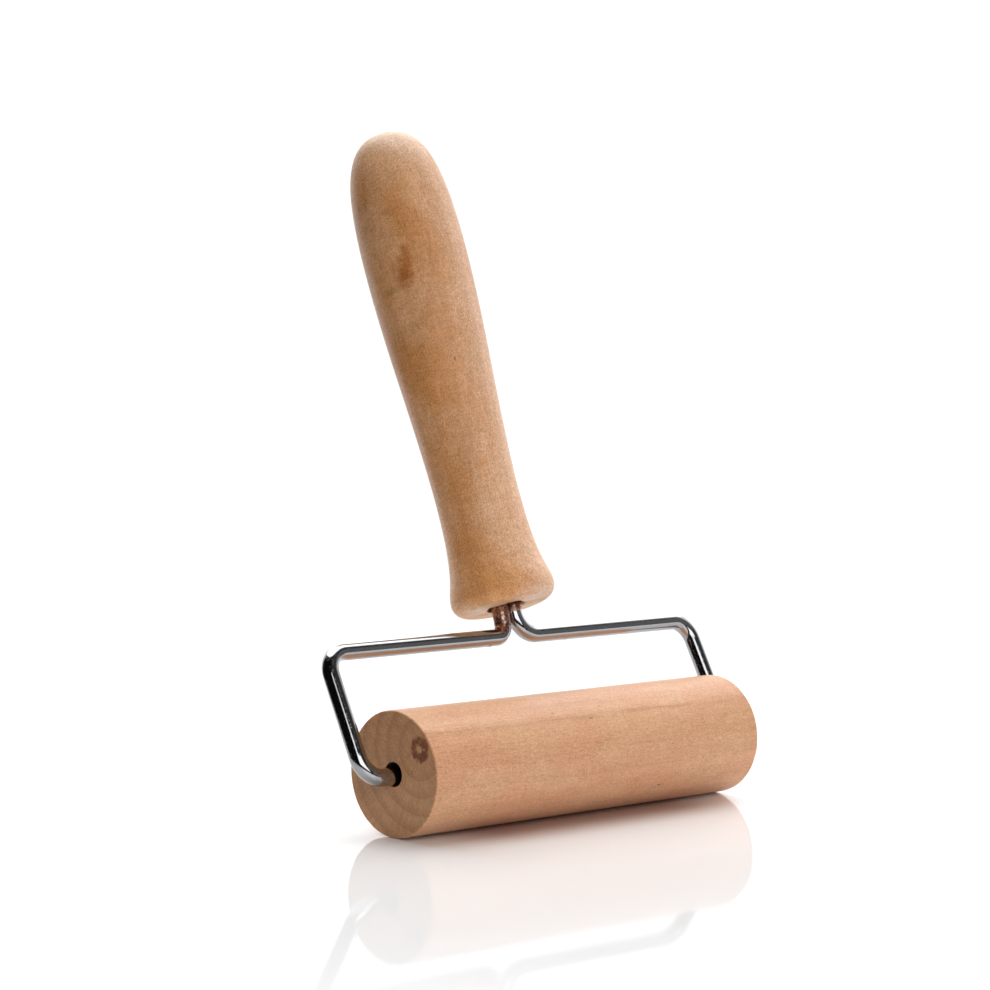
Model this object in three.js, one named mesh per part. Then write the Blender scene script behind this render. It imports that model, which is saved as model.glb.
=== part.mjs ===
// A brayer with a wooden roller. Three pieces: a turned roller, one bent wire that is
// both its axle and its yoke, and a turned handle whose single bore holds both ends of the wire.
//
// Millimetres, +Z up. The roller lies along X and rests on the table at the origin, below
// the middle of its length. The wire and the handle lean back from it, towards +Y.
import * as THREE from 'three';

const ROLLER = {
  diameter: 32,
  length: 119,
  bore: 6.1,
  edge: 0.5, // break of the sharp edge at each end face
};

const WIRE = {
  diameter: 4.5,
  axleSpan: 134, // between the centrelines of the two arms, at the axle
  barSpan: 133, // the same, at the crossbar
  armHeight: 33.9, // from the axle's centreline to the crossbar's
  lean: 29.7, // degrees from upright
  sag: 0.55, // the axle hangs this far below the roller's own axis, in the bore
  setBack: 0.35, // and this far behind it, towards the handle's side
  endFloat: -1.6, // how far the yoke has slid along X from the middle of the roller
  legGap: 0.06, // between the two legs, where they run side by side
  legOffset: -0.4, // of the pair of legs along X, from the middle of the crossbar
  legSpread: 0.9, // how far the left leg slants outward between the handle and the crossbar
  insertion: 40, // length of each leg inside the handle
};

// Bend radii of the wire's centreline.
const BEND = {
  axle: 6,
  shoulder: 6,
  leftLeg: 3.8,
  rightLeg: 6,
  slant: 14, // the slight bend where the left leg meets the handle
};

const HANDLE = {
  length: 135,
  lean: 23.3, // degrees from upright: the legs are set a little more upright than the arms
  standOff: 8, // from the crossbar's centreline to the handle's end face
  faceDiameter: 21, // flat part of the end face
  flareDiameter: 28.1,
  flareAt: 3.6, // heights above the end face
  neckDiameter: 22.5,
  neckAt: 29,
  bellyDiameter: 28.2,
  bellyAt: 99,
  bore: 9.9,
  boreDepth: 42,
};

// How far each curved stretch of the handle's outline keeps straight on at its two ends, as
// shares of the stretch's own length, or of its width where the outline runs across the axis.
const EASE = {
  foot: { leave: 0.55, arrive: 0.55 },
  waist: { leave: 0.19, arrive: 0.8 },
  swell: { leave: 0.35, arrive: 0.35 },
  crown: { leave: 0.78, arrive: 0.7 },
};

const ROLLER_SIDES = 48;
const HANDLE_SIDES = 48;
const WIRE_SIDES = 24;
const STEPS_PER_BEND = 9;
const STEPS_PER_SWEEP = 11; // profile points on each curved stretch of the handle

const FINISH = {
  roller: { color: 0xd3b08c, roughness: 0.62, metalness: 0 },
  handle: { color: 0xcf9f70, roughness: 0.5, metalness: 0 },
  wire: { color: 0xdcdde0, roughness: 0.1, metalness: 1 },
};

const X_AXIS = new THREE.Vector3(1, 0, 0);

// The direction that leans back from upright, towards +Y, by this many degrees.
function leaning(degrees) {
  const angle = THREE.MathUtils.degToRad(degrees);
  return new THREE.Vector3(0, Math.sin(angle), Math.cos(angle));
}

// The point reached from `origin` by going `along` X and then `up` a leaning direction.
function reach(origin, along, up, direction) {
  return origin.clone().addScaledVector(X_AXIS, along).addScaledVector(direction, up);
}

function piece(name, geometry, finish) {
  const mesh = new THREE.Mesh(geometry, new THREE.MeshStandardMaterial(finish));
  mesh.name = name;
  return mesh;
}

// A path held as stations, each a point and a tangent, so that a straight run takes one step
// however long it is and every bend takes the same few.
class StationPath extends THREE.Curve {
  constructor(stations) {
    super();
    this.stations = stations;
  }

  station(u) {
    return this.stations[Math.round(u * (this.stations.length - 1))];
  }

  getPointAt(u) {
    return this.station(u).point.clone();
  }

  getTangentAt(u) {
    return this.station(u).tangent.clone();
  }
}

// The stations of one bend: an arc of `radius` that rounds off the corner between two runs.
function bendStations({ point: corner, radius }, before, after) {
  const into = corner.clone().sub(before).normalize();
  const out = after.clone().sub(corner).normalize();
  const turn = into.angleTo(out);
  const axis = new THREE.Vector3().crossVectors(into, out).normalize();
  const start = corner.clone().addScaledVector(into, -radius * Math.tan(turn / 2));
  const centre = start.clone().addScaledVector(axis.clone().cross(into), radius);
  const stations = [];
  for (let step = 0; step <= STEPS_PER_BEND; step += 1) {
    const angle = (turn * step) / STEPS_PER_BEND;
    const arm = start.clone().sub(centre).applyAxisAngle(axis, angle);
    stations.push({
      point: centre.clone().add(arm),
      tangent: into.clone().applyAxisAngle(axis, angle),
    });
  }
  return stations;
}

// Corners joined by straight runs, each inner corner rounded to its own radius.
function bentPath(corners) {
  const last = corners.length - 1;
  const direction = (from, to) => to.point.clone().sub(from.point).normalize();
  const stations = [{ point: corners[0].point, tangent: direction(corners[0], corners[1]) }];
  for (let i = 1; i < last; i += 1) {
    stations.push(...bendStations(corners[i], corners[i - 1].point, corners[i + 1].point));
  }
  stations.push({ point: corners[last].point, tangent: direction(corners[last - 1], corners[last]) });
  return new StationPath(stations);
}

const handleAxis = leaning(HANDLE.lean);
const armDirection = leaning(WIRE.lean);
const axleMiddle = new THREE.Vector3(WIRE.endFloat, WIRE.setBack, ROLLER.diameter / 2 - WIRE.sag);
const barMiddle = reach(axleMiddle, 0, WIRE.armHeight, armDirection);
const legMiddle = reach(barMiddle, WIRE.legOffset, 0, handleAxis);
const handleFoot = reach(legMiddle, 0, HANDLE.standOff, handleAxis);

// The roller turns about X. Half a facet of twist puts a flat of the many-sided surface on
// the table, and the sides are set out so that this flat is exactly one radius below the axis.
function roller() {
  const radius = ROLLER.diameter / 2 / Math.cos(Math.PI / ROLLER_SIDES);
  const bore = ROLLER.bore / 2 / Math.cos(Math.PI / ROLLER_SIDES);
  const half = ROLLER.length / 2;
  const { edge } = ROLLER;
  const outline = [
    [bore, -half],
    [radius - edge, -half],
    [radius, -half + edge],
    [radius, half - edge],
    [radius - edge, half],
    [bore, half],
    [bore, -half],
  ];
  const profile = outline.map(([across, along]) => new THREE.Vector2(across, along));
  const geometry = new THREE.LatheGeometry(profile, ROLLER_SIDES, Math.PI / ROLLER_SIDES);
  geometry.rotateZ(-Math.PI / 2);
  const mesh = piece('roller', geometry, FINISH.roller);
  mesh.position.z = ROLLER.diameter / 2;
  return mesh;
}

// One length of wire: up out of the left leg, round the yoke and through the roller, and
// back up into the right leg.
function yokeWire() {
  const leg = (WIRE.diameter + WIRE.legGap) / 2;
  const rise = HANDLE.standOff + WIRE.insertion;
  const bar = WIRE.barSpan / 2;
  const axle = WIRE.axleSpan / 2;
  const corners = [
    { point: reach(legMiddle, -leg, rise, handleAxis) },
    { point: reach(handleFoot, -leg, 0, handleAxis), radius: BEND.slant },
    { point: reach(legMiddle, -leg - WIRE.legSpread, 0, handleAxis), radius: BEND.leftLeg },
    { point: reach(barMiddle, -bar, 0, armDirection), radius: BEND.shoulder },
    { point: reach(axleMiddle, -axle, 0, armDirection), radius: BEND.axle },
    { point: reach(axleMiddle, axle, 0, armDirection), radius: BEND.axle },
    { point: reach(barMiddle, bar, 0, armDirection), radius: BEND.shoulder },
    { point: reach(legMiddle, leg, 0, handleAxis), radius: BEND.rightLeg },
    { point: reach(legMiddle, leg, rise, handleAxis) },
  ];
  const path = bentPath(corners);
  const section = new THREE.Shape().absarc(0, 0, WIRE.diameter / 2, 0, 2 * Math.PI);
  const geometry = new THREE.ExtrudeGeometry(section, {
    extrudePath: path,
    steps: path.stations.length - 1,
    curveSegments: WIRE_SIDES / 2,
  });
  return piece('yoke_wire', geometry, FINISH.wire);
}

// A stretch of the handle's outline between two (radius, height) points. `leave` and `arrive`
// are the lengths of its end handles: along the axis, or across it where the form closes.
function sweep(from, leave, arrive, to) {
  const start = new THREE.Vector2(...from);
  const end = new THREE.Vector2(...to);
  const first = start.clone().add(new THREE.Vector2(...leave));
  const second = end.clone().sub(new THREE.Vector2(...arrive));
  return new THREE.CubicBezierCurve(start, first, second, end).getPoints(STEPS_PER_SWEEP);
}

// The turned grip: rounded foot, flare, neck, belly and a full rounded end.
function handle() {
  const face = HANDLE.faceDiameter / 2;
  const flare = HANDLE.flareDiameter / 2;
  const neck = HANDLE.neckDiameter / 2;
  const belly = HANDLE.bellyDiameter / 2;
  const bore = HANDLE.bore / 2;
  const neckRun = HANDLE.neckAt - HANDLE.flareAt;
  const bellyRun = HANDLE.bellyAt - HANDLE.neckAt;
  const endRun = HANDLE.length - HANDLE.bellyAt;
  const foot = sweep(
    [face, 0],
    [EASE.foot.leave * (flare - face), 0],
    [0, EASE.foot.arrive * HANDLE.flareAt],
    [flare, HANDLE.flareAt],
  );
  const waist = sweep(
    [flare, HANDLE.flareAt],
    [0, EASE.waist.leave * neckRun],
    [0, EASE.waist.arrive * neckRun],
    [neck, HANDLE.neckAt],
  );
  const swell = sweep(
    [neck, HANDLE.neckAt],
    [0, EASE.swell.leave * bellyRun],
    [0, EASE.swell.arrive * bellyRun],
    [belly, HANDLE.bellyAt],
  );
  const crown = sweep(
    [belly, HANDLE.bellyAt],
    [0, EASE.crown.leave * endRun],
    [-EASE.crown.arrive * belly, 0],
    [0, HANDLE.length],
  );
  const profile = [
    new THREE.Vector2(0, HANDLE.boreDepth),
    new THREE.Vector2(bore, HANDLE.boreDepth),
    new THREE.Vector2(bore, 0),
    ...foot,
    ...waist.slice(1),
    ...swell.slice(1),
    ...crown.slice(1),
  ];
  const mesh = piece('handle', new THREE.LatheGeometry(profile, HANDLE_SIDES), FINISH.handle);
  mesh.position.copy(handleFoot);
  mesh.rotation.x = THREE.MathUtils.degToRad(90 - HANDLE.lean);
  return mesh;
}

const brayer = new THREE.Group();
brayer.add(roller(), yokeWire(), handle());

export default brayer;
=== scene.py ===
# The looks of the brayer: a bare wooden roller, a bent wire yoke with bright plating and a turned
# wooden handle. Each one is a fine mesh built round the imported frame, in metres, +Z up.
import math
import random
import bpy
from mathutils import Matrix, Vector, noise


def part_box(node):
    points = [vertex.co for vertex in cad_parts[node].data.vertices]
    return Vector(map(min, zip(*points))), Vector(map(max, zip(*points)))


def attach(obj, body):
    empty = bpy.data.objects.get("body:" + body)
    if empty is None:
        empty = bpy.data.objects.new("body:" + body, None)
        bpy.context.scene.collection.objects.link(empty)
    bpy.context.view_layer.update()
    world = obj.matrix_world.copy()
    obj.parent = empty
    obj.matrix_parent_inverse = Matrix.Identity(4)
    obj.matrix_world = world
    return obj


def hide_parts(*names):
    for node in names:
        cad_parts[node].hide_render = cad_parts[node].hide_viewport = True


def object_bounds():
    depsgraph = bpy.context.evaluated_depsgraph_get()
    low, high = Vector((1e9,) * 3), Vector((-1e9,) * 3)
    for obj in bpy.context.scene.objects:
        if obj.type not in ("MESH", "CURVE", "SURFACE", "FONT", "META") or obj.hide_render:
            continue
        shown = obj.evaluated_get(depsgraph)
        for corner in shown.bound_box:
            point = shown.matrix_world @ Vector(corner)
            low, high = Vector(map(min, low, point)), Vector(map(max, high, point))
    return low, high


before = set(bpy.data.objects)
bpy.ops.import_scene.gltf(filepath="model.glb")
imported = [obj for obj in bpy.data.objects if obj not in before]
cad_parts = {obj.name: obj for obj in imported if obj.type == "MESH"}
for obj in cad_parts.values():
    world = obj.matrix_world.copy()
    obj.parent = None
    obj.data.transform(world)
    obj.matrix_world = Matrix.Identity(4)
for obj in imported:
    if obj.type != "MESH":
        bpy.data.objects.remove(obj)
cad_low, cad_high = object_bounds()

MM = 0.001
X_AXIS = Vector((1.0, 0.0, 0.0))
Y_AXIS = Vector((0.0, 1.0, 0.0))
SEED = 7


def leaning(degrees):
    """The direction that leans back from upright, towards +Y."""
    angle = math.radians(degrees)
    return Vector((0.0, math.sin(angle), math.cos(angle)))


# ---- sizes and places: the boxes come from the frame, the rest are the tool's own dimensions ----

roller_low, roller_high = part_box("roller")
wire_low, wire_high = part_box("yoke_wire")

ROLLER_RADIUS = (roller_high.z - roller_low.z) / 2
ROLLER_HALF = (roller_high.x - roller_low.x) / 2
ROLLER_CENTRE = (roller_low + roller_high) / 2
ROLLER_BORE_RADIUS = 3.05 * MM
ROLLER_EDGE = 0.45 * MM
ROLLER_MOUTH = 0.25 * MM

WIRE_RADIUS = 2.25 * MM
AXLE_HALF = 67.0 * MM
BAR_HALF = 66.5 * MM
ARM_HEIGHT = 33.9 * MM
ARM_LEAN = 29.7
LEG_OFFSET = -0.4 * MM
LEG_GAP = 0.06 * MM
LEG_SPREAD = 0.9 * MM
LEG_INSERTION = 40.0 * MM
BEND = 6.0 * MM
LEFT_LEG_BEND = 3.8 * MM
SLANT_BEND = 14.0 * MM

HANDLE_LEAN = 23.3
HANDLE_STAND_OFF = 8.0 * MM
HANDLE_LENGTH = 135.0 * MM
FACE_RADIUS = 10.5 * MM
FLARE_RADIUS = 14.05 * MM
FLARE_AT = 3.6 * MM
NECK_RADIUS = 11.25 * MM
NECK_AT = 29.0 * MM
BELLY_RADIUS = 14.1 * MM
BELLY_AT = 99.0 * MM
HANDLE_BORE_RADIUS = 4.95 * MM
HANDLE_BORE_DEPTH = 42.0 * MM
HANDLE_LIP = 0.2 * MM

# How far each curved stretch of the handle's outline keeps straight on at its two ends, as shares
# of the stretch's length, or of its width where the outline runs across the axis.
FOOT_LEAVE, FOOT_ARRIVE = 0.55, 0.55
WAIST_LEAVE, WAIST_ARRIVE = 0.19, 0.8
SWELL_LEAVE, SWELL_ARRIVE = 0.35, 0.35
CROWN_LEAVE, CROWN_ARRIVE = 0.78, 0.7

# How finely the round surfaces are divided.
ROLLER_SIDES = 220
HANDLE_SIDES = 200
WIRE_SIDES = 48
WIRE_STEP = 0.5 * MM
WIRE_BEND_STEP = 0.3 * MM

handle_axis = leaning(HANDLE_LEAN)
arm_axis = leaning(ARM_LEAN)
axle_middle = Vector(((wire_low.x + wire_high.x) / 2, wire_low.y + WIRE_RADIUS, wire_low.z + WIRE_RADIUS))
bar_middle = axle_middle + ARM_HEIGHT * arm_axis
leg_middle = bar_middle + LEG_OFFSET * X_AXIS
handle_foot = leg_middle + HANDLE_STAND_OFF * handle_axis


# ---- meshes ----


def add_mesh(name, vertices, faces, body, node):
    """A smooth-shaded piece that stands for one CAD node and rides on its body."""
    mesh = bpy.data.meshes.new(name)
    mesh.from_pydata(vertices, [], faces)
    mesh.validate()
    mesh.shade_smooth()
    piece = bpy.data.objects.new(name, mesh)
    bpy.context.scene.collection.objects.link(piece)
    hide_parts(node)
    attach(piece, body)
    return piece


def note_grain(piece, origin, along, side):
    """Keeps each vertex's place as "grain": millimetres along one axis, the fibres' in wood, then two
    across it. "end_grain" is 0 where the surface runs along that axis and 1 where it cuts it square."""
    other = along.cross(side)
    mesh = piece.data
    places = []
    cuts = []
    for vertex in mesh.vertices:
        place = (vertex.co - origin) / MM
        places += [place.dot(along), place.dot(side), place.dot(other)]
        cuts.append(vertex.normal.dot(along) ** 2)
    mesh.attributes.new("grain", "FLOAT_VECTOR", "POINT").data.foreach_set("vector", places)
    mesh.attributes.new("end_grain", "FLOAT", "POINT").data.foreach_set("value", cuts)


def turned(outline, sides, shape, origin, along, side):
    """Vertices and faces of a turned piece. The outline is a closed or axis-to-axis list of
    (height, radius). `shape` takes a height, a radius and an angle, and returns the height and
    radius of the real, worked surface there."""
    on_axis = 0.0001 * MM
    other = along.cross(side)
    vertices = []
    rings = []
    for height, radius in outline:
        if radius < on_axis:
            rings.append([len(vertices)] * sides)
            vertices.append(origin + height * along)
            continue
        rings.append(list(range(len(vertices), len(vertices) + sides)))
        for k in range(sides):
            angle = 2 * math.pi * k / sides
            h, r = shape(height, radius, angle)
            vertices.append(origin + h * along + r * (math.cos(angle) * side + math.sin(angle) * other))
    faces = []
    for ring, following in zip(rings, rings[1:]):
        for k in range(sides):
            after = (k + 1) % sides
            corners = [ring[k], ring[after], following[after], following[k]]
            faces.append(list(dict.fromkeys(corners)))
    return vertices, faces


def curve(start, leave, arrive, end, steps):
    """A cubic stretch of outline between two (height, radius) points, without its first point."""
    corners = (start, leave, arrive, end)
    points = []
    for k in range(1, steps + 1):
        t = k / steps
        weights = ((1 - t) ** 3, 3 * (1 - t) ** 2 * t, 3 * (1 - t) * t * t, t ** 3)
        points.append(tuple(sum(w * c[axis] for w, c in zip(weights, corners)) for axis in (0, 1)))
    return points


def line(start, end, steps):
    """A straight stretch of outline, without its first point."""
    return [tuple(s + (e - s) * k / steps for s, e in zip(start, end)) for k in range(1, steps + 1)]


def arc(centre, radius, start, end, steps):
    """A round stretch of outline from one angle to another in degrees, without its first point."""
    points = []
    for k in range(1, steps + 1):
        angle = math.radians(start + (end - start) * k / steps)
        points.append((centre[0] + radius * math.cos(angle), centre[1] + radius * math.sin(angle)))
    return points


def bump_field(place, size):
    """Smooth unevenness between -1 and 1, with lumps about `size` across."""
    return noise.noise(place / size)


def make_nicks(source, count, depth, width):
    """Small dents round an edge: (angle, depth, angular width) of each."""
    nicks = []
    for _ in range(count):
        nicks.append((source.uniform(0, 2 * math.pi), source.uniform(*depth), source.uniform(*width)))
    return nicks


def nick_depth(nicks, angle):
    """How deep all the nicks together cut at one angle."""
    total = 0.0
    for at, depth, width in nicks:
        away = math.remainder(angle - at, 2 * math.pi) / width
        total += depth * math.exp(-away * away)
    return total


def roller_outline():
    """Along the bore, then round the left end, along the outside and back round the right end."""
    half, side, bore = ROLLER_HALF, ROLLER_RADIUS, ROLLER_BORE_RADIUS
    mouth, edge = ROLLER_MOUTH, ROLLER_EDGE
    outline = [(half - mouth, bore)]
    outline += line(outline[-1], (mouth - half, bore), steps=12)
    outline += arc((mouth - half, bore + mouth), mouth, 270, 180, steps=5)
    outline += line(outline[-1], (-half, side - edge), steps=14)
    outline += arc((edge - half, side - edge), edge, 180, 90, steps=8)
    outline += line(outline[-1], (half - edge, side), steps=110)
    outline += arc((half - edge, side - edge), edge, 90, 0, steps=8)
    outline += line(outline[-1], (half, bore + mouth), steps=14)
    outline += arc((half - mouth, bore + mouth), mouth, 0, -90, steps=5)
    return outline


def build_roller():
    """The turned roller: plain bore, end faces, edges just broken and slightly dented."""
    source = random.Random(SEED)
    nick_sizes = {"count": 26, "depth": (0.02 * MM, 0.12 * MM), "width": (0.01, 0.05)}
    nicks = {end: make_nicks(source, **nick_sizes) for end in (-1, 1)}
    nick_reach = 0.5 * MM
    nick_slant = 0.6
    unevenness = 0.02 * MM
    lump = 19 * MM

    def shape(height, radius, angle):
        if radius < ROLLER_BORE_RADIUS * 1.3:
            return height, radius
        end = -1 if height < 0 else 1
        from_edge = ROLLER_HALF - abs(height) + ROLLER_RADIUS - radius
        dent = nick_depth(nicks[end], angle) * math.exp(-from_edge / nick_reach)
        place = Vector((height, radius * math.cos(angle), radius * math.sin(angle)))
        uneven = unevenness * (bump_field(place, lump) - 1) * radius / ROLLER_RADIUS
        return height - end * nick_slant * dent, radius + uneven - dent

    vertices, faces = turned(roller_outline(), ROLLER_SIDES, shape, ROLLER_CENTRE, X_AXIS, Y_AXIS)
    piece = add_mesh("wooden_roller", vertices, faces, "roller", "roller")
    note_grain(piece, ROLLER_CENTRE, X_AXIS, Y_AXIS)
    return piece


def handle_outline():
    """Out of the bore, across the foot, then up the flare, neck and belly to the tip."""
    neck_run = NECK_AT - FLARE_AT
    belly_run = BELLY_AT - NECK_AT
    end_run = HANDLE_LENGTH - BELLY_AT
    chipped = 4 * MM
    face = (0.0, FACE_RADIUS)
    flare = (FLARE_AT, FLARE_RADIUS)
    neck = (NECK_AT, NECK_RADIUS)
    belly = (BELLY_AT, BELLY_RADIUS)
    tip = (HANDLE_LENGTH, 0.0)
    outline = [(HANDLE_BORE_DEPTH, 0.0)]
    outline += line(outline[-1], (HANDLE_BORE_DEPTH, HANDLE_BORE_RADIUS), steps=2)
    outline += line(outline[-1], (chipped, HANDLE_BORE_RADIUS), steps=10)
    outline += line(outline[-1], (HANDLE_LIP, HANDLE_BORE_RADIUS), steps=14)
    outline += arc((HANDLE_LIP, HANDLE_BORE_RADIUS + HANDLE_LIP), HANDLE_LIP, 270, 180, steps=4)
    outline += line(outline[-1], face, steps=22)
    leave = (0.0, FACE_RADIUS + FOOT_LEAVE * (FLARE_RADIUS - FACE_RADIUS))
    arrive = (FLARE_AT - FOOT_ARRIVE * FLARE_AT, FLARE_RADIUS)
    outline += curve(face, leave, arrive, flare, steps=16)
    leave = (FLARE_AT + WAIST_LEAVE * neck_run, FLARE_RADIUS)
    arrive = (NECK_AT - WAIST_ARRIVE * neck_run, NECK_RADIUS)
    outline += curve(flare, leave, arrive, neck, steps=28)
    leave = (NECK_AT + SWELL_LEAVE * belly_run, NECK_RADIUS)
    arrive = (BELLY_AT - SWELL_ARRIVE * belly_run, BELLY_RADIUS)
    outline += curve(neck, leave, arrive, belly, steps=50)
    leave = (BELLY_AT + CROWN_LEAVE * end_run, BELLY_RADIUS)
    arrive = (HANDLE_LENGTH, CROWN_ARRIVE * BELLY_RADIUS)
    outline += curve(belly, leave, arrive, tip, steps=44)
    return outline


def build_handle():
    """The turned handle: torn bore mouth, nearly flat foot, flare, neck, belly and full rounded end."""
    source = random.Random(SEED + 1)
    chips = make_nicks(source, count=16, depth=(0.1 * MM, 0.5 * MM), width=(0.05, 0.22))
    chips += [(math.pi, 0.4 * MM, 0.14), (0.1, 0.5 * MM, 0.2), (1.5 * math.pi, 0.4 * MM, 0.3)]
    chip_reach = 0.6 * MM
    mouth_depth = 5 * MM

    def shape(height, radius, angle):
        if radius < HANDLE_BORE_RADIUS * 1.4 and height < mouth_depth:
            from_mouth = math.hypot(height, radius - HANDLE_BORE_RADIUS)
            chip = nick_depth(chips, angle) * math.exp(-from_mouth / chip_reach)
            return height + 0.5 * chip, radius + chip
        if height < HANDLE_BORE_DEPTH * 1.01 and radius < HANDLE_BORE_RADIUS * 1.01:
            return height, radius
        place = Vector((height, radius * math.cos(angle), radius * math.sin(angle)))
        uneven = 0.07 * MM * bump_field(place, 23 * MM) + 0.02 * MM * bump_field(place, 6 * MM)
        return height, radius + uneven * min(1.0, radius / NECK_RADIUS)

    vertices, faces = turned(handle_outline(), HANDLE_SIDES, shape, handle_foot, handle_axis, X_AXIS)
    piece = add_mesh("turned_handle", vertices, faces, "frame", "handle")
    note_grain(piece, handle_foot, handle_axis, X_AXIS)
    return piece


def bend(corner, radius, before, after):
    """Stations (place, direction) along the arc that rounds off one corner of the wire."""
    into = (corner - before).normalized()
    out = (after - corner).normalized()
    turn = into.angle(out)
    inward = into.cross(out).normalized().cross(into)
    start = corner - radius * math.tan(turn / 2) * into
    centre = start + radius * inward
    steps = max(4, math.ceil(turn * radius / WIRE_BEND_STEP))
    stations = []
    for k in range(steps + 1):
        sine = math.sin(turn * k / steps)
        cosine = math.cos(turn * k / steps)
        place = centre - radius * cosine * inward + radius * sine * into
        stations.append((place, cosine * into + sine * inward))
    return stations


def bent_path(corners, step):
    """Stations along straight runs and bends. Each inner corner is (place, bend radius)."""
    places = [corner[0] for corner in corners]
    stations = [(places[0], (places[1] - places[0]).normalized())]
    for i in range(1, len(corners)):
        if i < len(corners) - 1:
            stretch = bend(places[i], corners[i][1], places[i - 1], places[i + 1])
        else:
            stretch = [(places[i], (places[i] - places[i - 1]).normalized())]
        start = stations[-1][0]
        gap = stretch[0][0] - start
        count = max(1, round(gap.length / step))
        direction = gap.normalized()
        stations += [(start + gap * k / count, direction) for k in range(1, count)]
        stations += stretch
    return stations


def wire_path():
    """Up out of the left leg, round the yoke, through the roller and up the right leg."""
    leg = WIRE_RADIUS + LEG_GAP / 2
    top = leg_middle + (HANDLE_STAND_OFF + LEG_INSERTION) * handle_axis
    corners = [
        (top - leg * X_AXIS, 0.0),
        (handle_foot - leg * X_AXIS, SLANT_BEND),
        (leg_middle - (leg + LEG_SPREAD) * X_AXIS, LEFT_LEG_BEND),
        (bar_middle - BAR_HALF * X_AXIS, BEND),
        (axle_middle - AXLE_HALF * X_AXIS, BEND),
        (axle_middle + AXLE_HALF * X_AXIS, BEND),
        (bar_middle + BAR_HALF * X_AXIS, BEND),
        (leg_middle + leg * X_AXIS, BEND),
        (top + leg * X_AXIS, 0.0),
    ]
    return bent_path(corners, WIRE_STEP)


def build_wire():
    """One length of round wire, faintly uneven, with two small blemishes under its crossbar."""
    under_bar = bar_middle - WIRE_RADIUS * arm_axis
    blemishes = [(under_bar - 10 * MM * X_AXIS, 0.22 * MM), (under_bar + 18 * MM * X_AXIS, 0.12 * MM)]
    blemish_size = 0.45 * MM
    unevenness = 0.004 * MM
    stations = wire_path()
    across = handle_axis.cross(X_AXIS).normalized()
    vertices = []
    last = stations[0][1]
    for place, direction in stations:
        across = last.rotation_difference(direction) @ across
        last = direction
        other = direction.cross(across)
        for k in range(WIRE_SIDES):
            angle = 2 * math.pi * k / WIRE_SIDES
            out = math.cos(angle) * across + math.sin(angle) * other
            at = place + WIRE_RADIUS * out
            rise = unevenness * (bump_field(at, 5 * MM) - 1)
            for blemish, height in blemishes:
                away = (at - blemish).length / blemish_size
                rise += height * math.exp(-away * away)
            vertices.append(at + rise * out)
    faces = []
    for ring in range(len(stations) - 1):
        for k in range(WIRE_SIDES):
            after = (k + 1) % WIRE_SIDES
            a, b = ring * WIRE_SIDES, (ring + 1) * WIRE_SIDES
            faces.append([a + k, a + after, b + after, b + k])
    faces.append(list(range(WIRE_SIDES))[::-1])
    faces.append([(len(stations) - 1) * WIRE_SIDES + k for k in range(WIRE_SIDES)])
    piece = add_mesh("bent_yoke_wire", vertices, faces, "frame", "yoke_wire")
    note_grain(piece, axle_middle, X_AXIS, Y_AXIS)
    return piece


# ---- materials ----


class Nodes:
    """Short names for adding nodes to a tree. An input may be a number, a colour or another node's output."""

    def __init__(self, owner):
        owner.use_nodes = True
        self.tree = owner.node_tree
        self.tree.nodes.clear()

    def add(self, kind, inputs=None, **settings):
        node = self.tree.nodes.new(kind)
        for name, value in settings.items():
            setattr(node, name, value)
        for name, value in (inputs or {}).items():
            if isinstance(value, bpy.types.NodeSocket):
                self.tree.links.new(value, node.inputs[name])
            else:
                node.inputs[name].default_value = value
        return node

    def maths(self, operation, a, b=0.0):
        return self.add("ShaderNodeMath", {0: a, 1: b}, operation=operation).outputs[0]

    def vector(self, operation, a, b=(0.0, 0.0, 0.0)):
        node = self.add("ShaderNodeVectorMath", {0: a, 1: b}, operation=operation)
        return node.outputs["Value" if operation in ("LENGTH", "DISTANCE", "DOT_PRODUCT") else "Vector"]

    def noise(self, place, scale, detail=2.0, roughness=0.5):
        inputs = {"Vector": place, "Scale": scale, "Detail": detail, "Roughness": roughness}
        return self.add("ShaderNodeTexNoise", inputs).outputs["Fac"]

    def drawn_noise(self, place, shares, scale, detail=2.0, roughness=0.5):
        """Noise drawn out along an axis where `shares` is small. A share of 0 makes it the same all along."""
        return self.noise(self.vector("MULTIPLY", place, shares), scale, detail, roughness)

    def span(self, value, low, high, to_low=0.0, to_high=1.0):
        inputs = {"Value": value, "From Min": low, "From Max": high, "To Min": to_low, "To Max": to_high}
        return self.add("ShaderNodeMapRange", inputs, interpolation_type="SMOOTHSTEP").outputs["Result"]

    def spread(self, value, to_low, to_high):
        """A noise runs from about 0.3 to 0.7. This makes it run from one value to another."""
        return self.span(value, 0.3, 0.7, to_low, to_high)

    def mix(self, share, a, b, way="MIX"):
        node = self.add("ShaderNodeMix", {0: share, 6: a, 7: b}, data_type="RGBA", blend_type=way)
        return node.outputs[2]

    def combine(self, x, y, z):
        return self.add("ShaderNodeCombineXYZ", {0: x, 1: y, 2: z}).outputs[0]

    def level(self, value):
        """A grey of this brightness."""
        return self.combine(value, value, value)

    def separate(self, vector):
        return self.add("ShaderNodeSeparateXYZ", {0: vector}).outputs


def grey(level):
    return (level, level, level, 1.0)


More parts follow.
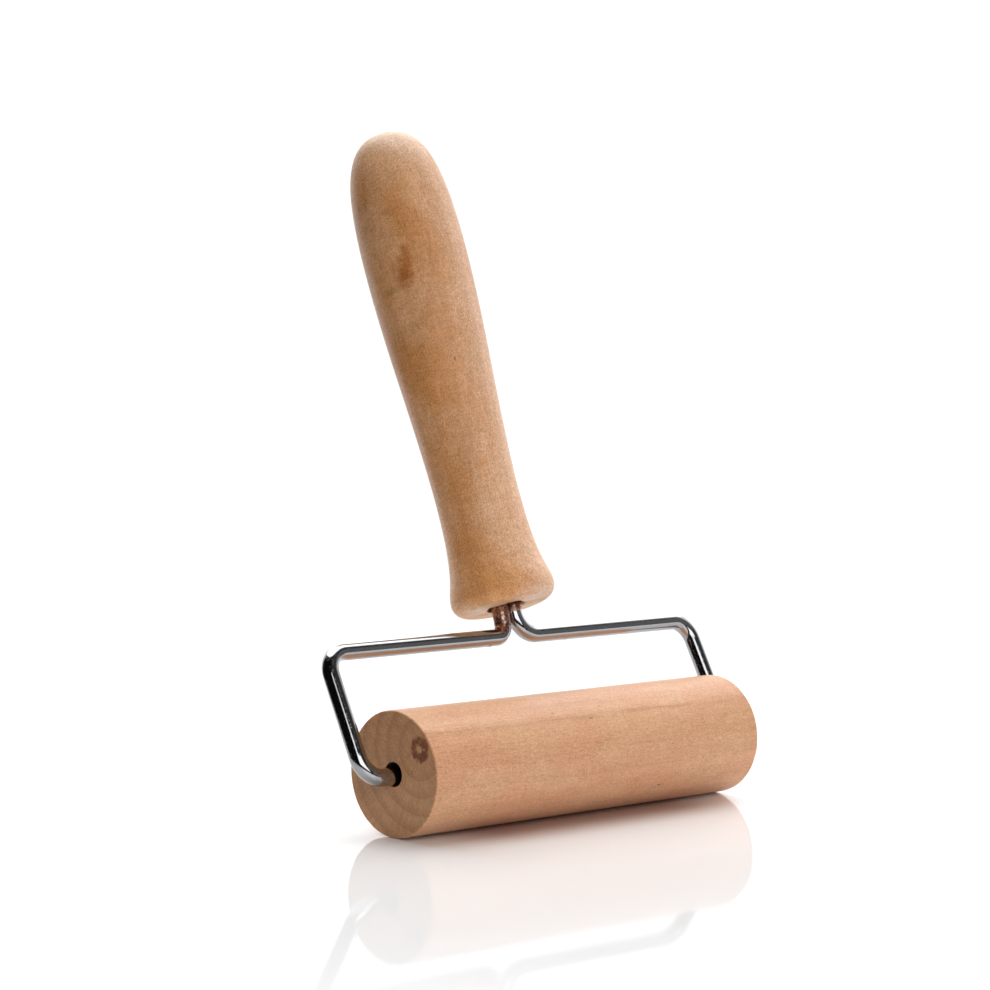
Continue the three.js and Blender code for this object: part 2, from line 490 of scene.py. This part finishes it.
# The fibres' patterns, as drawn_noise takes them: shares (along, side, other), scale per millimetre,
# detail and roughness.
FIBRES = {
    "broad": ((0.06, 1.0, 1.0), 0.4, 2.0, 0.5),
    "fine": ((0.12, 1.0, 1.0), 1.7, 3.0, 0.6),
    "hair": ((0.30, 1.0, 1.0), 3.0, 2.0, 0.6),
    "curl": ((1.0, 0.25, 0.25), 0.8, 2.0, 0.5),
    "grit": ((0.7, 1.0, 1.0), 3.0, 3.0, 0.75),
    "tooled": ((1.0, 0.16, 0.16), 2.8, 2.0, 0.5),
}
ACROSS_ONLY = (0.0, 1.0, 1.0)


def growth_rings(nodes, place, look):
    """The way from the pith, which runs nearly along the fibres, its length with some wander, and how
    late in its year the wood there grew."""
    along, _, _ = nodes.separate(place)
    drift = nodes.vector("MULTIPLY", nodes.level(along), look["pith_tilt"])
    from_pith = nodes.vector("SUBTRACT", nodes.vector("SUBTRACT", place, look["pith"]), drift)
    from_pith = nodes.vector("MULTIPLY", from_pith, ACROSS_ONLY)
    wander = nodes.drawn_noise(place, (0.2, 1.0, 1.0), look["wander_scale"], 1.0)
    wander = nodes.maths("MULTIPLY", nodes.maths("SUBTRACT", wander, 0.5), look["wander"])
    distance = nodes.maths("ADD", nodes.vector("LENGTH", from_pith), wander)
    years = nodes.maths("ADD", nodes.maths("DIVIDE", distance, look["ring"]), look["phase"])
    season = nodes.maths("FRACT", years)
    late = nodes.maths("MULTIPLY", nodes.span(season, 0.35, 0.93), nodes.span(season, 1.0, 0.94))
    return from_pith, distance, late


def fibre_shade(nodes, patterns, look):
    """The fibres' light and dark, round a level of 1. The darker, the warmer."""
    shade = 1.0
    for size, pattern in patterns.items():
        shade = nodes.maths("ADD", nodes.spread(pattern, -look[size] / 2, look[size] / 2), shade)
    return nodes.combine(shade, nodes.maths("POWER", shade, 1.3), nodes.maths("POWER", shade, 1.7))


def end_grain_colour(nodes, colour, from_pith, distance, look):
    """The colour of wood cut across its fibres: a tint, with rays from the pith and faint saw marks. The
    roller's tint is its end grain's own darker colour; the handle's is paler, painted light on its foot's
    face.
    """
    _, across, up = nodes.separate(from_pith)
    around = nodes.maths("MULTIPLY", nodes.maths("ARCTAN2", up, across), 9.0)
    outward = nodes.maths("MULTIPLY", distance, 0.12)
    ray = nodes.noise(nodes.combine(around, outward, 0.0), 2.2, 2.0)
    ray = nodes.span(ray, 0.25, 0.75, 1.0 - look["rays"], 1.0 + look["rays"])
    slantwise = nodes.combine(0.0, nodes.maths("ADD", up, across), nodes.maths("SUBTRACT", up, across))
    sawn = nodes.drawn_noise(slantwise, (0.0, 0.06, 1.0), 1.1, 3.0)
    sawn = nodes.spread(sawn, 1.0 - look["sawn"], 1.0 + look["sawn"])
    cut = nodes.mix(1.0, colour, look["end_tint"], "MULTIPLY")
    return nodes.mix(1.0, cut, nodes.level(nodes.maths("MULTIPLY", ray, sawn)), "MULTIPLY")


def wood_relief(nodes, along, patterns, pores, strength):
    """Raised fibres, turning marks round the piece and sunk pores."""
    turning = nodes.noise(nodes.combine(along, 0.0, 0.0), 2.6, 2.0)
    height = nodes.maths("MULTIPLY", patterns["fine"], 0.5)
    for part, share in ((patterns["hair"], 0.35), (turning, 0.5), (pores, -0.8)):
        height = nodes.maths("ADD", height, nodes.maths("MULTIPLY", part, share))
    bump = nodes.add("ShaderNodeBump", {"Height": height, "Strength": strength, "Distance": 0.05 * MM})
    return bump.outputs[0]


def wood(name, look):
    """Close-grained light wood. All its patterns are in the grain's own millimetres."""
    material = bpy.data.materials.new(name)
    nodes = Nodes(material)
    place = nodes.add("ShaderNodeAttribute", attribute_name="grain").outputs["Vector"]
    end = nodes.add("ShaderNodeAttribute", attribute_name="end_grain").outputs["Fac"]
    along, _, _ = nodes.separate(place)
    from_pith, distance, late = growth_rings(nodes, place, look)
    patterns = {size: nodes.drawn_noise(place, *FIBRES[size]) for size in FIBRES}
    blotch = nodes.drawn_noise(place, look["blotch_shares"], look["blotch_scale"], 3.0)
    pores = nodes.span(nodes.drawn_noise(place, (0.16, 1.0, 1.0), 3.3, 0.0), 0.72, 0.82)

    colour = nodes.mix(nodes.span(blotch, 0.38, 0.62), look["warm"], look["pale"])
    late_share = nodes.span(end, 0.0, 1.0, look["late_share"], look["late_share_end"])
    colour = nodes.mix(nodes.maths("MULTIPLY", late, late_share), colour, look["late"])
    for mark in look["marks"]:
        colour = mark(nodes, place, distance, colour)
    colour = nodes.mix(1.0, colour, fibre_shade(nodes, patterns, look), "MULTIPLY")
    colour = nodes.mix(nodes.maths("MULTIPLY", pores, look["pores"]), colour, look["pore_colour"])
    colour = nodes.mix(end, colour, end_grain_colour(nodes, colour, from_pith, distance, look))

    surface = nodes.add("ShaderNodeBsdfPrincipled", {
        "Base Color": colour,
        "Roughness": nodes.span(patterns["fine"], 0.2, 0.8, look["rough"] - 0.06, look["rough"] + 0.06),
        "Normal": wood_relief(nodes, along, patterns, pores, look["bump"]),
        "IOR": 1.45,
        "Coat Weight": look["coat"],
        "Coat Roughness": 0.3,
        "Sheen Weight": look["sheen"],
        "Sheen Roughness": 0.35,
    })
    nodes.add("ShaderNodeOutputMaterial", {"Surface": surface.outputs[0]})
    return material


# Marks on the wood. Each one takes the nodes, the place in the grain, the distance from the pith and the
# colour so far, and returns the new colour.


def pith_ring(nodes, place, distance, colour):
    """The pith at the roller's end: pale inside a ragged ring of red-brown."""
    ragged = nodes.maths("ADD", distance, nodes.spread(nodes.noise(place, 0.9, 3.0), -0.6, 0.6))
    ring = nodes.maths("MULTIPLY", nodes.span(ragged, 0.9, 1.8), nodes.span(ragged, 3.6, 2.3))
    return nodes.mix(nodes.maths("MULTIPLY", ring, 0.95), colour, (0.26, 0.065, 0.025, 1.0))


def long_streak(nodes, place, distance, colour):
    """One faint orange-brown line that runs the roller's whole length, 49 degrees up its front."""
    _, back, up = nodes.separate(place)
    angle = nodes.maths("ARCTAN2", up, nodes.maths("MULTIPLY", back, -1.0))
    wobble = nodes.drawn_noise(place, (1.0, 0.0, 0.0), 0.05, 2.0)
    broken = nodes.drawn_noise(place, (0.10, 1.0, 1.0), 0.8, 2.0)
    angle = nodes.maths("ADD", angle, nodes.maths("MULTIPLY", wobble, 0.12))
    away = nodes.maths("ABSOLUTE", nodes.maths("SUBTRACT", angle, math.radians(49)))
    share = nodes.maths("MULTIPLY", nodes.span(away, 0.11, 0.0), nodes.span(broken, 0.35, 0.65, 0.12, 0.60))
    return nodes.mix(share, colour, (0.56, 0.25, 0.09, 1.0))


def shaded_bore(radius, depth, bore_shade):
    """A mark: painted shade, darkening the inside of the bore down to its depth and the edge of its mouth."""
    def paint(nodes, place, distance, colour):
        along, _, _ = nodes.separate(place)
        across = nodes.vector("LENGTH", nodes.vector("MULTIPLY", place, ACROSS_ONLY))
        inside = nodes.span(across, radius / MM + 0.18, radius / MM + 0.02)
        within = nodes.span(along, depth / MM + 2.0, depth / MM + 1.0)
        return nodes.mix(nodes.maths("MULTIPLY", inside, within), colour, bore_shade)
    return paint


def spot(where, size, share, tint):
    """A mark: a patch of one colour, fading outwards from a place in the grain. Most are the wood's own
    stains, patches and flecks; the handle's paler side is a painted sheen.
    """
    def paint(nodes, place, distance, colour):
        away = nodes.vector("DIVIDE", nodes.vector("SUBTRACT", place, where), size)
        ragged = nodes.maths("MULTIPLY", nodes.noise(place, 0.5, 3.0), 0.9)
        reach = nodes.maths("ADD", nodes.vector("LENGTH", away), ragged)
        return nodes.mix(nodes.span(reach, 1.55, 0.60, 0.0, share), colour, tint)
    return paint


FLECK = (0.16, 0.06, 0.03, 1.0)
DEEP_FLECK = (0.12, 0.04, 0.02, 1.0)

# The looks of the two woods, with lengths in millimetres in the grain:
#   pale, warm             the two ground colours, mixed in blotches
#   late, late_share       the late wood's colour, and how much of it shows along the fibres
#   late_share_end         the same where the fibres are cut
#   ring, phase, wander    the width of a year, where in it the pith lies, and how far the rings wander
#   pith, pith_tilt        a point of the pith, and its drift for each millimetre along the fibres
#   broad ... tooled       how much each pattern in FIBRES lightens and darkens the wood
#   pores, end_tint        how much the pores show, and the tint of the end grain
#   rays, sawn             how much each one lightens and darkens the end grain
ROLLER_WOOD = {
    "pale": (0.79, 0.435, 0.24, 1.0),
    "warm": (0.77, 0.39, 0.215, 1.0),
    "blotch_scale": 0.11,
    "blotch_shares": (0.5, 1.0, 1.0),
    "late": (0.62, 0.29, 0.14, 1.0),
    "late_share": 0.18,
    "late_share_end": 0.65,
    "ring": 4.4,
    "phase": 0.2,
    "wander": 0.8,
    "wander_scale": 0.12,
    "pith": (0.0, -9.2, 7.4),
    "pith_tilt": (0.0, 0.004, -0.003),
    "broad": 0.05,
    "fine": 0.10,
    "hair": 0.12,
    "curl": 0.03,
    "grit": 0.34,
    "tooled": 0.0,
    "pores": 0.25,
    "pore_colour": (0.36, 0.16, 0.075, 1.0),
    "end_tint": (0.66, 0.64, 0.54, 1.0),
    "rays": 0.08,
    "sawn": 0.06,
    "bump": 0.35,
    "rough": 0.45,
    "coat": 0.0,
    "sheen": 0.08,
    "marks": [
        pith_ring,
        long_streak,
        # painted shade inside the roller's bore
        shaded_bore(ROLLER_BORE_RADIUS, ROLLER_HALF, (0.035, 0.014, 0.008, 1.0)),
        spot((-13.5, -9.6, 12.8), (0.7, 0.3, 0.3), 0.7, FLECK),
        spot((-1.5, -11.8, 10.8), (0.8, 0.3, 0.3), 0.7, FLECK),
        spot((23.4, -13.4, -8.8), (0.8, 0.3, 0.3), 0.9, DEEP_FLECK),
    ],
}

HANDLE_WOOD = {
    "pale": (0.88, 0.462, 0.226, 1.0),
    "warm": (0.79, 0.352, 0.128, 1.0),
    "blotch_scale": 0.085,
    "blotch_shares": (0.6, 1.0, 1.0),
    "late": (0.59, 0.255, 0.088, 1.0),
    "late_share": 0.20,
    "late_share_end": 0.2,
    "ring": 6.3,
    "phase": 0.4,
    "wander": 5.0,
    "wander_scale": 0.06,
    "pith": (0.0, 31.0, 9.0),
    "pith_tilt": (0.0, 0.10, 0.05),
    "broad": 0.08,
    "fine": 0.10,
    "hair": 0.12,
    "curl": 0.07,
    "grit": 0.46,
    "tooled": 0.09,
    "pores": 0.20,
    "pore_colour": (0.30, 0.12, 0.05, 1.0),
    # paler end grain: painted light on the foot's face
    "end_tint": (1.03, 1.42, 1.85, 1.0),
    "rays": 0.03,
    "sawn": 0.04,
    "bump": 0.25,
    "rough": 0.42,
    "coat": 0.05,
    "sheen": 0.0,
    "marks": [
        # a painted sheen down the handle's lit side, and a warm patch round the red-brown stain near the top
        spot((50.0, 3.0, -13.5), (400.0, 11.0, 11.0), 0.55, (0.86, 0.57, 0.40, 1.0)),
        spot((98.0, -8.5, -11.0), (14.0, 6.5, 6.5), 0.6, (0.68, 0.27, 0.07, 1.0)),
        spot((92.0, -12.4, -6.6), (5.5, 3.2, 3.6), 0.85, (0.50, 0.15, 0.025, 1.0)),
        spot((95.5, -11.4, -8.2), (6.0, 2.6, 2.6), 0.65, (0.56, 0.17, 0.03, 1.0)),
        spot((88.5, -13.9, -1.9), (1.6, 3.0, 5.0), 0.4, (0.46, 0.20, 0.07, 1.0)),
        # warm patches on the neck and the foot, pale ones between them and at the tip, and one fleck
        spot((45.0, -8.0, -9.5), (22.0, 3.0, 3.0), 0.40, (0.60, 0.26, 0.08, 1.0)),
        spot((5.0, -8.0, -10.0), (3.2, 7.5, 7.5), 0.50, (0.76, 0.34, 0.10, 1.0)),
        spot((22.0, -5.5, -10.0), (22.0, 9.0, 9.0), 0.45, (0.92, 0.58, 0.36, 1.0)),
        spot((128.0, -3.0, -6.0), (12.0, 9.0, 9.0), 0.50, (0.90, 0.58, 0.38, 1.0)),
        spot((66.0, -6.2, -11.2), (0.9, 0.35, 0.35), 0.8, FLECK),
        # painted shade inside the handle's bore and on the edge of its mouth
        shaded_bore(HANDLE_BORE_RADIUS, HANDLE_BORE_DEPTH, (0.22, 0.08, 0.02, 1.0)),
    ],
}


def brown_on_legs(nodes, place):
    """Where the two legs are dull brown: from the handle down to a ragged edge, lower on the left leg.
    Places are in millimetres from the middle of the axle."""
    meet_low, meet_high = -0.7, 0.1
    bar_low, bar_high = -8.0, -5.5
    left_low, left_high = 30.6, 31.8
    right_low, right_high = 35.8, 37.0
    along, _, up = nodes.separate(place)
    up = nodes.maths("ADD", up, nodes.spread(nodes.noise(place, 0.7, 3.0), -1.0, 1.0))
    off_bar = nodes.span(along, bar_low, bar_high)
    on_left = nodes.maths("MULTIPLY", nodes.span(along, meet_high, meet_low), off_bar)
    on_right = nodes.span(along, meet_low, meet_high)
    left = nodes.maths("MULTIPLY", on_left, nodes.span(up, left_low, left_high))
    right = nodes.maths("MULTIPLY", on_right, nodes.span(up, right_low, right_high))
    return nodes.maths("ADD", left, right)


def plating():
    """Bright plated wire: nearly a mirror, with faint unevenness and tiny pits, and a speckled dull brown,
    rougher, on the legs where they enter the handle."""
    material = bpy.data.materials.new("plated_wire")
    nodes = Nodes(material)
    place = nodes.add("ShaderNodeAttribute", attribute_name="grain").outputs["Vector"]
    pits = nodes.span(nodes.noise(place, 2.8, 1.0), 0.61, 0.71)
    orange_peel = nodes.noise(place, 1.6, 2.0)
    height = nodes.maths("SUBTRACT", nodes.maths("MULTIPLY", orange_peel, 0.2), pits)
    bump = nodes.add("ShaderNodeBump", {"Height": height, "Strength": 0.35, "Distance": 0.03 * MM})
    tint = nodes.mix(nodes.noise(place, 0.2, 2.0), (0.42, 0.42, 0.44, 1.0), (0.48, 0.48, 0.49, 1.0))
    rough = nodes.spread(nodes.noise(place, 0.35, 3.0), 0.02, 0.045)
    leg_brown = brown_on_legs(nodes, place)
    speck = nodes.span(nodes.noise(place, 1.3, 2.0), 0.53, 0.62)
    brown = nodes.mix(speck, (0.30, 0.12, 0.07, 1.0), (0.62, 0.52, 0.46, 1.0))
    surface = nodes.add("ShaderNodeBsdfPrincipled", {
        "Base Color": nodes.mix(nodes.maths("MULTIPLY", leg_brown, 0.9), tint, brown),
        "Metallic": 1.0,
        "Roughness": nodes.maths("ADD", rough, nodes.maths("MULTIPLY", leg_brown, 0.3)),
        "Normal": bump.outputs[0],
    })
    nodes.add("ShaderNodeOutputMaterial", {"Surface": surface.outputs[0]})
    return material


# ---- stage ----

TABLE_CENTRE = Vector((0.15, -0.05, 0.0))
TABLE_REACH = 0.42
TABLE_SIDES = 64
# The colour of the painted contact shadow on the table, close in front of the roller.
CONTACT_SHADE = (0.30, 0.16, 0.11, 1.0)


def table_material():
    """Glossy white, less glossy towards the front, fading to clear towards its rim. A warm painted contact
    shadow darkens it close in front of the roller, and its white is painted darker near the tool: painted
    shade round the tool."""
    material = bpy.data.materials.new("table")
    nodes = Nodes(material)
    where = nodes.add("ShaderNodeTexCoord").outputs["Object"]
    along, back, _ = nodes.separate(where)
    # Where the painted contact shadow lies: in front of the roller, not behind it and not past its ends.
    in_front = nodes.span(back, -1.7 * ROLLER_RADIUS, -0.5 * ROLLER_RADIUS)
    not_behind = nodes.span(back, 0.6 * ROLLER_RADIUS, 0.0)
    not_past_ends = nodes.span(nodes.maths("ABSOLUTE", along), ROLLER_HALF, 0.5 * ROLLER_HALF, 0.0, 0.8)
    shade = nodes.maths("MULTIPLY", nodes.maths("MULTIPLY", in_front, not_behind), not_past_ends)
    # Painted shade: the white is darker out to a tenth of a metre in front of the tool, and full by a fifth.
    white = nodes.level(nodes.span(back, -0.10, -0.19, 0.71, 0.95))
    white = nodes.add("ShaderNodeBsdfDiffuse", {"Color": nodes.mix(shade, white, CONTACT_SHADE)})

    polish = nodes.level(nodes.span(back, -0.02, -0.13, 0.95, 0.42))
    mirror = nodes.add("ShaderNodeBsdfAnisotropic", {"Color": polish, "Roughness": 0.04})
    black = nodes.add("ShaderNodeBsdfDiffuse", {"Color": grey(0.0)})
    glance = nodes.add("ShaderNodeFresnel", {"IOR": 1.5}).outputs[0]
    shine = nodes.add("ShaderNodeMixShader", {0: glance, 1: black.outputs[0], 2: mirror.outputs[0]})
    both = nodes.add("ShaderNodeAddShader", {0: white.outputs[0], 1: shine.outputs[0]})

    fade = nodes.span(nodes.vector("DISTANCE", where, TABLE_CENTRE), 0.6 * TABLE_REACH, TABLE_REACH)
    clear = nodes.add("ShaderNodeBsdfTransparent")
    blend = nodes.add("ShaderNodeMixShader", {0: fade, 1: both.outputs[0], 2: clear.outputs[0]})
    nodes.add("ShaderNodeOutputMaterial", {"Surface": blend.outputs[0]})
    return material


def build_table():
    """A round table top under the tool, reaching further to the right than to the left."""
    vertices = []
    for k in range(TABLE_SIDES):
        angle = 2 * math.pi * k / TABLE_SIDES
        rim = TABLE_REACH * Vector((math.cos(angle), math.sin(angle), 0.0))
        vertices.append(TABLE_CENTRE + rim)
    mesh = bpy.data.meshes.new("table")
    mesh.from_pydata(vertices, [], [list(range(TABLE_SIDES))])
    mesh.materials.append(table_material())
    table = bpy.data.objects.new("table", mesh)
    bpy.context.scene.collection.objects.link(table)


def build_studio():
    """White behind and overhead. The rest is the unlit room, with a paler wall and one small window in
    front. The camera itself sees plain white all round."""
    world = bpy.data.worlds.new("studio")
    bpy.context.scene.world = world
    nodes = Nodes(world)
    x, y, z = nodes.separate(nodes.add("ShaderNodeTexCoord").outputs["Generated"])
    sideways = nodes.maths("SQRT", nodes.maths("SUBTRACT", 1.0001, nodes.maths("MULTIPLY", z, z)))

    def facing(azimuth):
        """The cosine between a direction and an azimuth in degrees from +X, both taken level."""
        turn = math.radians(azimuth)
        along_x = nodes.maths("MULTIPLY", x, math.cos(turn))
        along_y = nodes.maths("MULTIPLY", y, math.sin(turn))
        return nodes.maths("DIVIDE", nodes.maths("ADD", along_x, along_y), sideways)

    behind = nodes.span(facing(43), 0.30, 0.72)
    overhead_axis = (0.366, 0.341, 0.866)
    overhead = nodes.vector("DOT_PRODUCT", nodes.combine(x, y, z), overhead_axis)
    overhead = nodes.span(overhead, 0.785, 0.805)
    wall = nodes.maths("MULTIPLY", nodes.span(facing(-45), 0.86, 0.93), nodes.span(z, 0.55, 0.50))
    window = nodes.maths("MULTIPLY", nodes.span(facing(-112), 0.90, 0.93), nodes.span(z, 0.66, 0.64))
    window = nodes.maths("MULTIPLY", window, nodes.span(z, 0.10, 0.18))
    light = nodes.level(nodes.span(facing(-20), -0.5, 0.7, 0.002, 0.02))
    for part, level in ((wall, 0.067), (behind, 0.5), (window, 0.84), (overhead, 1.0)):
        light = nodes.mix(part, light, grey(level))

    sees = nodes.add("ShaderNodeLightPath").outputs["Is Camera Ray"]
    background = nodes.add("ShaderNodeBackground", {
        "Color": nodes.mix(sees, light, grey(1.05)),
        "Strength": nodes.span(sees, 0.0, 1.0, 2.6, 1.0),
    })
    nodes.add("ShaderNodeOutputWorld", {"Surface": background.outputs[0]})


def add_lamp(name, direction, distance, size, power):
    """A soft square lamp that faces the tool and doesn't show in the plating."""
    data = bpy.data.lights.new(name, "AREA")
    data.shape = "SQUARE"
    data.size = size
    data.energy = power
    lamp = bpy.data.objects.new(name, data)
    bpy.context.scene.collection.objects.link(lamp)
    away = Vector(direction).normalized()
    lamp.location = (cad_low + cad_high) / 2 + distance * away
    lamp.rotation_mode = "QUATERNION"
    lamp.rotation_quaternion = away.to_track_quat("Z", "Y")
    lamp.visible_glossy = False


CAMERA_PLACE = (-0.5990, -0.5868, 0.1523)
CAMERA_YAW = 44.22  # degrees from +Y towards +X
CAMERA_PITCH = 4.65  # degrees down
CAMERA_ROLL = 1.72
CAMERA_LENS = 117.8  # millimetres, on a sensor 36 mm wide
CAMERA_SHIFT = (0.0024, -0.0043)


def add_camera():
    """A long lens, a little above the table, looking along the roller from its near left end."""
    yaw, pitch, roll = (math.radians(angle) for angle in (CAMERA_YAW, CAMERA_PITCH, CAMERA_ROLL))
    forward = Vector((math.sin(yaw) * math.cos(pitch), math.cos(yaw) * math.cos(pitch), -math.sin(pitch)))
    level = Vector((math.cos(yaw), -math.sin(yaw), 0.0))
    right = math.cos(roll) * level + math.sin(roll) * level.cross(forward)
    up = right.cross(forward)
    data = bpy.data.cameras.new("camera")
    data.lens = CAMERA_LENS
    data.sensor_width = 36.0
    data.shift_x, data.shift_y = CAMERA_SHIFT
    data.clip_start = 0.01
    camera = bpy.data.objects.new("camera", data)
    bpy.context.scene.collection.objects.link(camera)
    turn = Matrix((right, up, -forward)).transposed()
    camera.matrix_world = Matrix.Translation(CAMERA_PLACE) @ turn.to_4x4()
    bpy.context.scene.camera = camera


build_roller().data.materials.append(wood("roller_wood", ROLLER_WOOD))
build_handle().data.materials.append(wood("handle_wood", HANDLE_WOOD))
build_wire().data.materials.append(plating())
build_table()
build_studio()
add_lamp("key", direction=(0.63, -0.63, 0.45), distance=0.9, size=0.35, power=0.6)
add_lamp("fill", direction=(-0.80, -0.45, 0.40), distance=0.9, size=0.35, power=0.90)
add_camera()
bpy.context.scene.view_settings.view_transform = "Standard"
